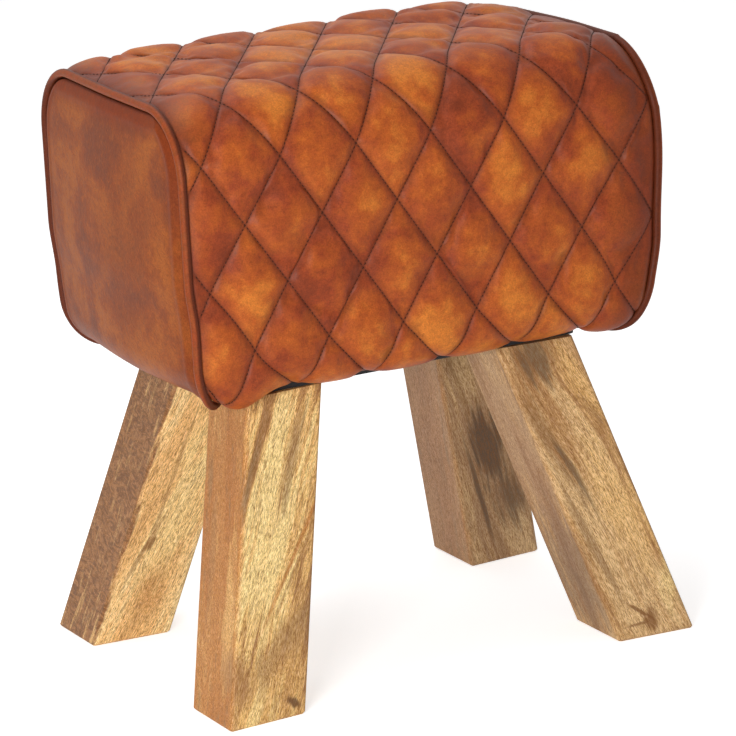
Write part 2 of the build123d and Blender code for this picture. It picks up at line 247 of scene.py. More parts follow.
# How deep the grain of each material is, how far apart the cambric's threads lie, and how far
# the wood's grain sways
leather_grain = 0.2
leather_mottle = 1
wood_grain = 0.25
thread_grain = 0.2
cord_grain = 0.4
steel_grain = 0.1
cambric_grain = 0.2
cambric_pitch = 4
grain_sway = 16

# Stitching: how many lines of the lattice are tried to each side, and the stitches' own measures.
# A stitch lies on the leather between its two middle stations and goes down at its ends.
lattice_reach = 24
stitch_pitch = 3.3
stitch_length = 2.5
stitch_radius = 0.34
stitch_sides = 4
stitch_sink = 0.5
stitch_stand = 0.22
stitch_margin = 1.5
stitch_station_shares = (-0.5, -0.22, 0.22, 0.5)


def above(value, start, spread):
    """A share that grows smoothly from 0 at a start to 1 a spread above it."""
    share = np.clip((value - start) / spread, 0, 1)
    return share * share * (3 - 2 * share)


def below(value, start, spread):
    """A share that grows smoothly from 0 at a start to 1 a spread below it."""
    return above(start, value, spread)


def hump(value, middle, spread):
    """A share that is 1 at a middle and fades to both sides of it."""
    return np.exp(-(((value - middle) / spread) ** 2))


def unit(vectors):
    return vectors / np.linalg.norm(vectors, axis=-1, keepdims=True)


class Wrap:
    """The body's outline across its length, from the front margin over the top to the back one."""

    def __init__(self):
        under = half_depth - bottom_round - margin_half_depth
        side = seam_top - cover_underside - bottom_round - top_round
        quarter = math.pi / 2
        lower = [(under, 0), (bottom_round * quarter, bottom_round)]
        upper = [(side, 0), (top_round * quarter, top_round)]
        turns = lower + upper + [(2 * (half_depth - top_round), 0)] + upper[::-1] + lower[::-1]
        place = np.array([-margin_half_depth, cover_underside], float)
        angle = math.pi
        stops = []
        along = 0
        for length, radius in turns:
            stops.append((along, *place, angle, radius))
            if radius:
                turned = angle - length / radius
                step = (math.sin(angle) - math.sin(turned), math.cos(turned) - math.cos(angle))
                place = place + radius * np.array(step)
                angle = turned
            else:
                place = place + length * np.array([math.cos(angle), math.sin(angle)])
            along += length
        self.length = along
        self.starts, self.depths, self.heights, self.angles, self.radii = np.array(stops, float).T

    def at(self, along):
        """Depth and height on the outline, and the outward direction's depth and height."""
        along = np.asarray(along, float)
        part = np.clip(np.searchsorted(self.starts, along, side="right") - 1, 0, len(self.starts) - 1)
        run = along - self.starts[part]
        angle = self.angles[part]
        radius = self.radii[part]
        bent = radius > 0
        turned = angle - np.where(bent, run / np.where(bent, radius, 1), 0)
        y = np.where(bent, radius * (np.sin(angle) - np.sin(turned)), run * np.cos(angle))
        z = np.where(bent, radius * (np.cos(turned) - np.cos(angle)), run * np.sin(angle))
        return self.depths[part] + y, self.heights[part] + z, -np.sin(turned), np.cos(turned)


wrap = Wrap()
front_margin = half_depth - bottom_round - margin_half_depth
turn_height = cover_underside + bottom_round
front_row = front_margin + bottom_round * math.pi / 2 + seam_top - first_row_drop - turn_height


def settle(points):
    """How the stuffed leather of this stool has settled away from its true shape."""
    x, y, z = np.moveaxis(np.array(points, float), -1, 0)
    toward_end = above(np.abs(x), end_calm, end_reach)
    right = right_swell * hump(z, right_swell_height, right_swell_spread)
    right = right - right_draw * below(z, right_draw_top, right_draw_spread)
    left = left_swell - left_draw * below(z, left_draw_top, left_draw_spread)
    x = x + np.sign(x) * toward_end * np.where(x > 0, right, left)
    droop = droop_fall * below(np.hypot(x + droop_x, y + droop_y), droop_reach, droop_reach)
    sag = sag_fall * below(np.abs(x), sag_length, end_reach)
    sag = sag + right_sag * above(x, right_sag_start, right_sag_spread)
    sag = sag * below(z, sag_top, sag_spread)
    at_back = toward_end * above(y, back_start, back_spread)
    low = below(z, back_low_top, sag_spread)
    x = x + np.where(x < 0, at_back * (back_draw + back_low_draw * low), 0)
    corner = above(y, back_corner_from, back_corner_reach)
    corner = corner * below(z, back_corner_top, back_corner_spread)
    y = y - np.where(x < 0, back_corner_draw * toward_end * corner, 0)
    at_right = above(x, right_top_from, right_top_reach)
    at_top = above(z, right_top_start, right_top_spread)
    fall = right_top_fall + back_top_fall * above(y, back_start, back_spread)
    fall = fall * at_right * at_top
    fall = fall - left_top_fill * hump(x, left_top_middle, left_top_spread) * at_top
    into_y = np.clip((-y - half_depth + top_round) / top_round, 0, 1)
    into_z = np.clip((z - seam_top + top_round) / top_round, 0, 1)
    corner = right_corner_draw * at_right * np.sqrt(into_y * into_z)
    z = z - droop * below(z, droop_top, droop_spread) - sag - fall - corner
    return np.stack([x, y + corner, z], axis=-1)


def end_limit(along):
    """Half the cover's length at a place along the wrap: shorter under the body, along its mitres."""
    y, z, _, _ = wrap.at(along)
    low = z < piping_turn_height
    return np.where(low, np.minimum(cover_end, cover_mitre + np.abs(y)), cover_end)


def cover_point(x, along, puff):
    """A point of the cover in the stool's frame, raised by a share of the pillow's rise."""
    y, z, out_y, out_z = wrap.at(along)
    share = np.minimum(np.abs(x) / cover_end, 1)
    crown = top_crown * np.maximum(out_z, 0) ** 2 + side_crown * out_y**2
    lift = crown * (1 - share**crown_power)
    lift = lift + pillow_rise * puff * (1 - share**pillow_fade)
    gap = np.maximum(end_limit(along) - np.abs(x), 0)
    lift = lift - end_tuck * np.exp(-gap / end_tuck_reach)
    bulge = right_bulge * (1 - np.exp(-gap / right_bulge_rise)) * hump(gap, 0, right_bulge_reach)
    lift = lift + np.where(x > 0, bulge, 0)
    return settle(np.stack([x, y + out_y * lift, z + out_z * lift], axis=-1))


def pillow(u, v):
    """How high a diamond's pillow stands at a share of its two sides: a sharp seam, a full middle."""
    side_u = 1 - np.abs(2 * u - 1) ** pillow_power
    side_v = 1 - np.abs(2 * v - 1) ** pillow_power
    return (side_u * side_v) ** pillow_sharpness


def lattice_place(u, v):
    """Where a point of the stitching's diagonal lattice lies: along the body and along the wrap."""
    pull = below(u + v, pulled_row, 1)
    x = pattern_shift + (u - v) * diamond_width / 2 + pulled_shift * pull
    return x, front_row + (u + v) * diamond_half_height + pulled_lift * pull


chance_steps = (12.9898, 78.233, 37.719)
chance_scale = 43758.5453


def chance(first, second, seed):
    """A steady random share for each pair of whole numbers."""
    by_first, by_second, by_seed = chance_steps
    value = np.sin(first * by_first + second * by_second + seed * by_seed) * chance_scale
    return value - np.floor(value)


def new_piece(name, points, faces, material):
    """A mesh piece from points in millimetres, which rides with the stool."""
    mesh = bpy.data.meshes.new(name)
    mesh.from_pydata((np.asarray(points) * MM).tolist(), [], np.asarray(faces).tolist())
    mesh.materials.append(material)
    mesh.polygons.foreach_set("use_smooth", [True] * len(mesh.polygons))
    mesh.update()
    piece = bpy.data.objects.new(name, mesh)
    bpy.context.scene.collection.objects.link(piece)
    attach(piece, "root")
    return piece


def coordinates(mesh):
    values = np.empty(3 * len(mesh.vertices), np.float32)
    mesh.vertices.foreach_get("co", values)
    return values.reshape(-1, 3).astype(float)


def press(piece, held, slack):
    """Press a piece outward as cloth that is held at some points and has slack between them."""
    pins = piece.vertex_groups.new(name="held")
    pins.add(np.flatnonzero(held).tolist(), 1, "REPLACE")
    tight = piece.vertex_groups.new(name="tight")
    for index, share in enumerate((1 - slack).tolist()):
        tight.add([index], share, "REPLACE")
    modifier = piece.modifiers.new("press", "CLOTH")
    settings = modifier.settings
    settings.vertex_group_mass = pins.name
    settings.vertex_group_shrink = tight.name
    settings.shrink_min = -press_slack
    settings.bending_stiffness = press_bending
    settings.mass = press_mass
    for way in ("tension", "compression", "shear", "bending"):
        setattr(settings, f"{way}_damping", press_damping)
    settings.use_pressure = True
    settings.uniform_pressure_force = press_force
    settings.effector_weights.gravity = 0
    for frame_number in range(1, press_frames + 1):
        bpy.context.scene.frame_set(frame_number)
    pressed = piece.evaluated_get(bpy.context.evaluated_depsgraph_get())
    start = coordinates(piece.data)
    moved = coordinates(pressed.to_mesh()) - start
    pressed.to_mesh_clear()
    far = np.linalg.norm(moved, axis=1, keepdims=True)
    moved *= np.minimum(1, press_cap * MM / np.maximum(far, MM))
    piece.modifiers.clear()
    piece.vertex_groups.clear()
    piece.data.vertices.foreach_set("co", (start + moved).astype(np.float32).ravel())
    bpy.context.scene.frame_set(1)


def subdivide(piece):
    """Round a piece with one subdivision, sharp along its creased edges."""
    piece.modifiers.new("round", "SUBSURF").render_levels = 1
    rounded = piece.evaluated_get(bpy.context.evaluated_depsgraph_get())
    mesh = bpy.data.meshes.new_from_object(rounded)
    piece.modifiers.clear()
    piece.data = mesh


def write_attribute(piece, name, values, domain="POINT"):
    attribute = piece.data.attributes.new(name, "FLOAT", domain)
    attribute.data.foreach_set("value", np.asarray(values, np.float32).ravel())


def grid_faces(rows, columns):
    """Quads of a grid of rows by columns of points, counted row by row."""
    index = np.arange(rows * columns).reshape(rows, columns)
    corners = [index[:-1, :-1], index[1:, :-1], index[1:, 1:], index[:-1, 1:]]
    return np.stack(corners, axis=-1).reshape(-1, 4)


def ring_faces(rings, around):
    """Quads between rings of points that are each closed on themselves."""
    index = np.arange(rings * around).reshape(rings, around)
    turned = np.roll(index, -1, axis=1)
    return np.stack([index[:-1], turned[:-1], turned[1:], index[1:]], axis=-1).reshape(-1, 4)


class Nodes:
    """A small hand for building the nodes of a tree."""

    def __init__(self, tree):
        self.tree = tree

    def feed(self, socket, value):
        if isinstance(value, bpy.types.NodeSocket):
            self.tree.links.new(value, socket)
        elif value is not None:
            socket.default_value = value

    def add(self, kind, inputs=(), output=0, **settings):
        node = self.tree.nodes.new(kind)
        for name, value in settings.items():
            setattr(node, name, value)
        for key, value in dict(inputs).items():
            self.feed(node.inputs[key], value)
        return node.outputs[output]

    def math(self, operation, first, second=0.0, third=0.0):
        return self.add("ShaderNodeMath", {0: first, 1: second, 2: third}, operation=operation)

    def weigh(self, first, first_share, second, second_share):
        """Two values added up by their shares."""
        added = self.math("MULTIPLY", second, second_share)
        return self.math("MULTIPLY_ADD", first, first_share, added)

    def wander(self, noise, reach, base):
        """A base that a noise moves to and fro."""
        return self.math("MULTIPLY_ADD", self.math("SUBTRACT", noise, 0.5), reach, base)

    def strength(self, unseen, looked_at):
        """A strength that differs between what is seen, straight or in metal, and what only lights."""
        rays = [f"Is {kind} Ray" for kind in ("Camera", "Glossy", "Transmission")]
        straight, in_metal, through = (self.add("ShaderNodeLightPath", output=ray) for ray in rays)
        seen = self.math("MAXIMUM", self.math("MAXIMUM", straight, in_metal), through)
        return self.math("MULTIPLY_ADD", seen, looked_at - unseen, unseen)


class Surface(Nodes):
    """The nodes of a new material, laid on in the object's own frame."""

    def __init__(self, name):
        self.material = bpy.data.materials.new(name)
        self.material.use_nodes = True
        super().__init__(self.material.node_tree)
        self.tree.nodes.clear()
        output = self.tree.nodes.new("ShaderNodeOutputMaterial")
        self.shader = self.tree.nodes.new("ShaderNodeBsdfPrincipled")
        self.tree.links.new(self.shader.outputs["BSDF"], output.inputs["Surface"])
        self.place = self.add("ShaderNodeTexCoord", output="Object")

    def set(self, **values):
        for name, value in values.items():
            self.feed(self.shader.inputs[name.replace("_", " ")], value)

    def elsewhere(self, seed):
        """The object's own place, moved to a part of the noise that belongs to one material."""
        return self.mapped(shift=(seed, 0.37 * seed, 0.71 * seed))

    def attribute(self, name):
        return self.add("ShaderNodeAttribute", output="Fac", attribute_name=name)

    def mapped(self, scale=(1, 1, 1), turn=(0, 0, 0), shift=(0, 0, 0), vector=None):
        inputs = {"Vector": vector or self.place, "Scale": scale, "Rotation": turn, "Location": shift}
        return self.add("ShaderNodeMapping", inputs)

    def noise(self, scale, detail=3.0, roughness=0.5, distortion=0.0, vector=None):
        inputs = {"Vector": vector or self.place, "Scale": scale, "Detail": detail}
        inputs.update({"Roughness": roughness, "Distortion": distortion})
        return self.add("ShaderNodeTexNoise", inputs)

    def cells(self, scale):
        inputs = {"Vector": self.place, "Scale": scale}
        return self.add("ShaderNodeTexVoronoi", inputs, output="Distance")

    def span(self, value, low, high, to_low=0.0, to_high=1.0, smooth=True):
        kind = "SMOOTHSTEP" if smooth else "LINEAR"
        inputs = {"Value": value, "From Min": low, "From Max": high}
        inputs.update({"To Min": to_low, "To Max": to_high})
        return self.add("ShaderNodeMapRange", inputs, interpolation_type=kind)

    def ramp(self, value, stops):
        node = self.tree.nodes.new("ShaderNodeValToRGB")
        ramp = node.color_ramp
        while len(ramp.elements) < len(stops):
            ramp.elements.new(0.5)
        for element, (position, colour) in zip(ramp.elements, stops):
            element.position = position
            element.color = (*colour, 1)
        self.feed(node.inputs["Fac"], value)
        return node.outputs["Color"]

    def mix(self, share, first, second):
        node = self.tree.nodes.new("ShaderNodeMix")
        node.data_type = "RGBA"
        self.feed(node.inputs[0], share)
        colours = [socket for socket in node.inputs if socket.type == "RGBA"]
        for socket, value in zip(colours, (first, second)):
            self.feed(socket, value if isinstance(value, bpy.types.NodeSocket) else (*value, 1))
        return next(socket for socket in node.outputs if socket.type == "RGBA")

    def cloud(self, centre, size, slant, vector=None):
        """How far a place is from a middle, as a share of a cloud's slanting reach."""
        off = self.mapped(shift=tuple(-part * MM for part in centre), vector=vector)
        level = self.mapped(turn=slant, vector=off)
        spread = self.mapped(scale=tuple(1 / (part * MM) for part in size), vector=level)
        return self.add("ShaderNodeVectorMath", {0: spread}, output=1, operation="LENGTH")

    def bump(self, height, depth, strength, normal=None):
        inputs = {"Height": height, "Distance": depth * MM, "Strength": strength, "Normal": normal}
        return self.add("ShaderNodeBump", inputs)


# Where each leather's noise starts, its shine and its tones
quilt_seed = 3.1
quilt_shine = 0.2
panel_seed = 7.7
panel_shine = 0.09
piping_shine = 0.13
golden_tone = (0.55, 0.162, 0.022)
orange_tone = (0.39, 0.083, 0.012)
terracotta_tone = (0.255, 0.042, 0.01)
umber_tone = (0.145, 0.023, 0.006)
# crease_shade_tone is painted shade for the seams' grooves and for the crevices beside the piping
crease_shade_tone = (0.09, 0.017, 0.006)
tan_tone = (0.31, 0.085, 0.016)
brown_tone = (0.22, 0.051, 0.012)
plum_tone = (0.16, 0.04, 0.015)
border_tone = (0.17, 0.028, 0.006)


def finish_leather(n, colour, mottle, shine):
    """The fine grain, pores and soft wax shine that all of the leather has."""
    grit = n.noise(900, roughness=0.7)
    fibres = n.noise(300, detail=4, roughness=0.7)
    both = n.weigh(grit, 0.6, fibres, 0.4)
    value = n.span(both, 0.36, 0.64, 0.7, 1.3, smooth=False)
    colour = n.add("ShaderNodeHueSaturation", {"Value": value, "Color": colour})
    normal = n.bump(n.weigh(fibres, 0.8, n.cells(1250), 0.5), leather_grain, 0.5)
    normal = n.bump(mottle, leather_mottle, 0.45, normal)
    n.set(Base_Color=colour, Roughness=n.span(both, 0.35, 0.65, 0.42, 0.54), Normal=normal)
    n.set(Specular_IOR_Level=shine)
    return n.material


def quilted_leather():
    """Waxed leather, golden where a diamond is rubbed, terracotta in patches and, with painted shade,
    by its seams; painted shade also towards its ends and in its seams' grooves.
    """
    n = Surface("quilted_leather")
    place = n.elsewhere(quilt_seed)
    broad = n.noise(17, detail=2, distortion=0.3, vector=place)
    medium = n.noise(70, roughness=0.55, vector=place)
    groove = n.attribute("groove")
    blend = n.weigh(broad, 0.42, medium, 0.34)
    blend = n.math("MULTIPLY_ADD", n.attribute("tone"), 0.05, blend)
    blend = n.math("MULTIPLY_ADD", n.attribute("rub"), -0.15, n.math("ADD", blend, 0.21))
    stops = ((0.41, golden_tone), (0.52, orange_tone), (0.63, terracotta_tone), (0.75, umber_tone))
    colour = n.ramp(blend, stops)
    # Umber beside the seams: partly the leather's darker tone there, partly painted shade on the
    # pillows' slopes
    beside = n.wander(medium, seam_wander, groove)
    colour = n.mix(n.span(beside, seam_tone_and_shade_start, seam_tone_and_shade_reach, 0.55, 0), colour, umber_tone)
    # Darker towards the cover's ends: partly burnished leather by the piping, partly painted shade,
    # which reaches further at the right end
    beside = n.wander(medium, end_wander, n.attribute("end_gap"))
    colour = n.mix(n.span(beside, end_dark, end_light, 0.85, 0), colour, umber_tone)
    # Painted shade down in the seams' grooves
    colour = n.mix(n.span(groove, crevice, seam_crease, 0.5, 0), colour, crease_shade_tone)
    return finish_leather(n, colour, medium, quilt_shine)


def scuffed_leather():
    """The end panels' leather: tan with plum clouds, crossing scratches, a burnished border and
    painted shade in the crevice by the piping.
    """
    n = Surface("panel_leather")
    place = n.elsewhere(panel_seed)
    broad = n.noise(16, detail=2, roughness=0.45, distortion=0.6, vector=place)
    clouds = n.noise(60, detail=5, roughness=0.68, vector=place)
    far = n.cloud(plum_centre, plum_size, (math.radians(plum_slant), 0, 0))
    blend = n.weigh(broad, 0.55, clouds, 0.45)
    colour = n.ramp(blend, ((0.42, tan_tone), (0.52, brown_tone), (0.6, plum_tone)))
    rough = n.wander(clouds, 2.2, far)
    colour = n.mix(n.span(rough, 0.35, 1.15, 0.75, 0), colour, plum_tone)
    for turn, tone in ((32, tan_tone), (-24, tan_tone), (55, border_tone)):
        slant = n.mapped(turn=(math.radians(turn), 0, 0), shift=(turn, 0, 0), vector=place)
        drawn = n.mapped(scale=(900, 950, 130), vector=slant)
        scratch = n.noise(1, roughness=0.7, vector=drawn)
        colour = n.mix(n.span(scratch, 0.54, 0.66, 0, 0.6), colour, tone)
    rim = n.attribute("rim")
    beside = n.wander(clouds, border_wander, rim)
    height = n.add("ShaderNodeSeparateXYZ", {"Vector": n.place}, output=2)
    high = n.span(height, border_low * MM, border_high * MM, side_border_share, 1)
    burnished = n.span(beside, border_dark, border_light, 0.9, 0)
    colour = n.mix(n.math("MULTIPLY", burnished, high), colour, border_tone)
    # Painted shade in the crevice where the panel meets the piping
    colour = n.mix(n.span(rim, crevice, rim_crease, 0.85, 0), colour, crease_shade_tone)
    return finish_leather(n, colour, clouds, panel_shine)


def rolled_leather():
    """The piping's leather: dark, with painted shade down in the crevices at its sides and along its
    back run.
    """
    n = Surface("piping_leather")
    medium = n.noise(120, detail=4, roughness=0.6)
    colour = n.mix(n.span(medium, 0.35, 0.65, 0, 0.7), brown_tone, terracotta_tone)
    # Painted shade: darkest where the piping faces in towards the cover's crevice, and along its back
    # run
    colour = n.mix(n.span(n.attribute("away"), -0.1, 0.5, 0.9, 0), colour, crease_shade_tone)
    return finish_leather(n, colour, medium, piping_shine)


quilt_leather = quilted_leather()
panel_leather = scuffed_leather()
piping_leather = rolled_leather()


def plain(name, colour, roughness, fine_scale, depth, metallic=0.0):
    """A material with a fine-grained colour change and bump."""
    n = Surface(name)
    grain = n.noise(fine_scale, detail=4, roughness=0.65)
    shade = n.mix(n.span(grain, 0.35, 0.7), colour, tuple(0.72 * part for part in colour))
    n.set(Base_Color=shade, Roughness=n.span(grain, 0.3, 0.7, roughness, roughness + 0.12))
    n.set(Metallic=metallic, Normal=n.bump(grain, depth, 0.6), Specular_IOR_Level=0.2)
    return n.material


thread = plain("thread", (0.045, 0.012, 0.005), 0.75, 2600, thread_grain)
cotton = plain("cord", (0.75, 0.7, 0.6), 0.85, 1500, cord_grain)
steel = plain("steel", (0.55, 0.56, 0.57), 0.32, 700, steel_grain, metallic=1.0)


def woven(name, colour, pitch, depth):
    """Cloth with two crossing sets of threads."""
    n = Surface(name)
    inputs = {"Vector": n.place, "Scale": 1 / (pitch * MM), "Distortion": 0.3, "Detail": 2.0}
    bands = [n.add("ShaderNodeTexWave", inputs, 1, bands_direction=way) for way in ("X", "Y")]
    weave = n.math("MULTIPLY", *bands)
    raised = n.weigh(weave, 0.5, n.noise(900, detail=4), 0.5)
    shade = n.mix(raised, colour, tuple(2.2 * part for part in colour))
    n.set(Base_Color=shade, Roughness=0.85, Normal=n.bump(weave, depth, 0.7), Sheen_Weight=0.2)
    return n.material


cambric = woven("cambric", (0.008, 0.008, 0.009), cambric_pitch, cambric_grain)


def wood(name, seed, turn, shift, tones, tilt=0.0, stains=()):
    """Lacquered mango wood, its grain along z of its own frame, with lines, pores and stains."""
    light, gold, brown, grey = tones
    n = Surface(name)
    own = n.mapped(turn=turn, shift=shift)
    far_off = (seed, 0.3 * seed, 0.6 * seed)
    grain = n.mapped(turn=(0, -math.radians(tilt), 0), shift=far_off, vector=own)
    sway = n.add("ShaderNodeTexNoise", {"Vector": grain, "Scale": 9.0, "Detail": 2.0}, output=1)
    swayed = {0: sway, 1: (grain_sway * MM, grain_sway * MM, 0), 2: grain}
    bent = n.add("ShaderNodeVectorMath", swayed, operation="MULTIPLY_ADD")

    def stretched(across, along, detail, roughness):
        vector = n.mapped(scale=(across, across, along), vector=bent)
        return n.noise(1, detail=detail, roughness=roughness, vector=vector)

    broad = stretched(44, 3.4, 3, 0.5)
    medium = stretched(190, 10, 4, 0.65)
    fine = stretched(900, 50, 4, 0.75)
    pores = stretched(2500, 250, 4, 0.75)
    blend = n.weigh(medium, 0.5, broad, 0.55)
    colour = n.ramp(blend, ((0.46, light), (0.53, gold), (0.6, brown), (0.68, grey)))
    rings = n.math("PINGPONG", n.math("MULTIPLY", broad, 9), 0.5)
    colour = n.mix(n.span(rings, 0, 0.06, 0.4, 0), colour, brown)
    for centre, size, slant, strength, tint in stains:
        far = n.cloud(centre, size, (0, -math.radians(slant), 0), own)
        rough = n.wander(medium, 2.6, far)
        if tint is None:
            short = n.mapped(scale=(1, 1, 2.2), vector=own)
            curl = n.noise(75, detail=4, roughness=0.7, distortion=2.2, vector=short)
            tint = n.mix(n.span(curl, 0.4, 0.6), curl_light, curl_dark)
        colour = n.mix(n.span(rough, 0.3, 1.1, strength, 0), colour, tint)
    colour = n.mix(n.span(fine, 0.48, 0.66, 0, 0.6), colour, pore_tone)
    lit = {"Value": n.span(pores, 0.36, 0.52, 1.3, 1), "Color": colour}
    lit["Saturation"] = n.span(pores, 0.36, 0.52, 0.84, 1.04)
    colour = n.add("ShaderNodeHueSaturation", lit)
    dark_pores = n.span(pores, 0.5, 0.62, 0, 0.9)
    colour = n.mix(dark_pores, colour, pore_tone)
    n.set(Base_Color=colour, Roughness=n.span(fine, 0.3, 0.7, 0.42, 0.56), Specular_IOR_Level=0.2)
    n.set(Normal=n.bump(n.weigh(dark_pores, -0.8, fine, 0.5), wood_grain, 0.5))
    return n.material


# The wood's tones, and where each leg's noise starts
straw = (0.93, 0.69, 0.29)
honey = (0.83, 0.5, 0.175)
amber = (0.47, 0.17, 0.035)
umber = (0.39, 0.195, 0.07)
ash = (0.3, 0.175, 0.077)
smoke = (0.075, 0.046, 0.028)
pore_tone = (0.2, 0.08, 0.022)
curl_light = (0.37, 0.17, 0.065)
curl_dark = (0.16, 0.068, 0.026)
sand = (0.62, 0.42, 0.2)
ochre = (0.56, 0.3, 0.1)
rust = (0.46, 0.22, 0.09)
clay = (0.37, 0.2, 0.11)
dusk = (0.2, 0.12, 0.068)
tar = (0.1, 0.045, 0.02)
wood_seed = 1.7
wood_seed_step = 3.1
plywood_seed = 2.2

# The legs' tones, the slant of their grain, and their stains; the back left leg's paler tones are
# partly its own wood and partly painted light against the shade it stands in. A stain has its middle
# across, through and along the leg from its foot, its reach the same three ways, its slant, its
# strength and its colour, or None where the grain curls.
leg_woods = {
    "leg_front_left": (
        (straw, honey, umber, ash),
        12,
        ((-32.5, 0, 110), (4.8, 90, 300), 0, 0.9, amber),
        ((-32, -19, 72), (6, 9, 66), 0, 0.6, honey),
        ((-32, -20, 26), (6, 9, 20), 0, 0.6, umber),
        ((-32, 12, 110), (6, 7, 60), 0, 0.5, umber),
        ((-9, -32, 125), (19, 16, 105), 6, 0.75, straw),
        ((8, -32, 190), (6, 14, 50), 10, 0.7, ash),
        ((12, -32, 112), (2.6, 12, 78), 22, 0.85, amber),
        ((20, -32, 118), (2, 12, 66), 22, 0.7, umber),
        ((9, -32, 50), (15, 16, 62), 38, 0.75, ash),
        ((-26, -32, 22), (11, 16, 30), -18, 0.75, umber),
        ((12, -32, 30), (30, 16, 52), 0, 0.5, ochre),
        ((21, -32, 8), (11, 8, 4), 20, 0.9, tar),
        ((-32, 20, 172), (8, 5, 26), 0, 0.6, ash),
    ),
    "leg_front_right": (
        ((0.72, 0.47, 0.22), (0.62, 0.37, 0.155), umber, ash),
        -7,
        ((-33, -10, 60), (6, 60, 70), 0, 0.72, dusk),
        ((-33, 0, 170), (6, 60, 110), 0, 0.6, clay),
        ((-5, -32, 226), (22, 16, 26), 0, 0.8, smoke),
        ((18, -32, 195), (12, 14, 50), -8, 0.6, honey),
        ((-22, -32, 172), (10, 16, 66), -6, 0.65, ash),
        ((-14, -32, 140), (5, 12, 40), -8, 0.75, smoke),
        ((-21, -32, 76), (5, 12, 60), -6, 0.75, ash),
        ((14, -32, 96), (17, 14, 70), -6, 0.55, honey),
        ((0, -32, 4), (7, 10, 12), 14, 0.85, pore_tone),
        ((-6, -32, 15), (1.6, 8, 18), -38, 0.85, pore_tone),
        ((-10, -32, 6), (1.6, 8, 14), -80, 0.7, pore_tone),
        ((26, -32, 24), (9, 12, 24), 12, 0.6, straw),
    ),
    # The back left leg: its paler tones are partly painted light, making up for the shade under the
    # body
    "leg_back_left": (
        ((0.97, 0.7, 0.33), (0.95, 0.63, 0.27), (0.9, 0.54, 0.21), (0.7, 0.4, 0.15)),
        9,
        ((-32.3, 8, 110), (4.2, 140, 600), 0, 1.0, None),
        ((6, -32, 130), (22, 16, 120), 4, 0.6, straw),
        ((-9, -32, 145), (2.2, 12, 60), 2, 0.6, umber),
        ((-13, -32, 90), (2.2, 12, 45), 16, 0.6, umber),
        ((-10, -32, 93), (3.4, 8, 9), 16, 0.8, pore_tone),
        ((4, -32, 50), (16, 14, 34), 0, 0.5, amber),
    ),
    "leg_back_right": (
        ((0.6, 0.4, 0.2), (0.47, 0.29, 0.14), (0.36, 0.215, 0.11), ash),
        -6,
        ((-33, 10, 110), (6, 80, 300), 0, 0.8, rust),
        ((-12, -32, 205), (14, 16, 46), -4, 0.6, sand),
        ((0, -32, 124), (19, 18, 48), -6, 0.95, smoke),
        ((12, -32, 70), (17, 18, 38), -10, 0.85, smoke),
        ((-14, -32, 84), (3, 12, 62), -6, 0.85, smoke),
    ),
}


def paint(material, *nodes):
    for node in nodes:
        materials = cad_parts[node].data.materials
        materials.clear()
        materials.append(material)


# The middles of the feet, from the spread of their outermost corners
lean_x = math.tan(math.radians(leg_splay_x))
lean_y = math.tan(math.radians(leg_splay_y))
level_share = 1 + lean_x**2
side_reach = leg_side / 2 * math.sqrt(level_share)
face_reach = leg_side / 2 * math.hypot(lean_x * lean_y, level_share, lean_y) / level_share
foot_x = foot_spread_x / 2 - side_reach
foot_y = foot_spread_y / 2 - face_reach - lean_x * lean_y / level_share * side_reach
for order, (node, (tones, tilt, *stains)) in enumerate(leg_woods.items()):
    side_x = -1 if node.endswith("left") else 1
    side_y = -1 if "front" in node else 1
    along = Vector((-side_x * lean_x, -side_y * lean_y, 1)).normalized()
    across = Vector((along.z, 0, -along.x)).normalized()
    own_frame = Matrix((across, along.cross(across), along))
    foot = Vector((side_x * foot_x, side_y * foot_y, 0)) * MM
    shift = tuple(-(own_frame @ foot))
    seed = wood_seed + wood_seed_step * order
    paint(wood(node, seed, tuple(own_frame.to_euler()), shift, tones, tilt, stains), node)

plywood_tones = ((0.7, 0.5, 0.3), (0.62, 0.42, 0.23), (0.5, 0.32, 0.16), (0.4, 0.25, 0.12))
plywood = wood("plywood", plywood_seed, (0, math.pi / 2, 0), (0, 0, 0), plywood_tones)
boards = [f"{name}_board" for name in ("top", "bottom", "front", "back", "leg")]
paint(plywood, *boards, "end_board_left", "end_board_right", "centre_rib", "corner_blocks")
screws = [f"{name}_board_screws" for name in ("top", "bottom", "end", "leg")]
paint(steel, *screws, "hanger_bolts", "tee_nuts")


def worn(cell_u, cell_v, flat_u, flat_v):
    """How far each point is rubbed golden, and the tone of its diamond."""
    rub_u = flat_u - rub_middle_share - rub_wander_share * (chance(cell_u, cell_v, 1) - 0.5)
    rub_v = flat_v - rub_middle_share - rub_wander_share * (chance(cell_u, cell_v, 2) - 0.5)
    rub = np.exp(-(rub_u**2 + rub_v**2) / rub_spread_share**2)
    rub = rub * (1 - rub_fade_share * chance(cell_u, cell_v, 3))
    tone = 2 * chance(cell_u, cell_v, 0) - 1
    for diamonds, own_tone, share in diamond_looks:
        for own_u, own_v in diamonds:
            own = (cell_u == own_u) & (cell_v == own_v)
            rub = np.where(own, share * rub, rub)
            tone = np.where(own, own_tone, tone)
    return rub, tone


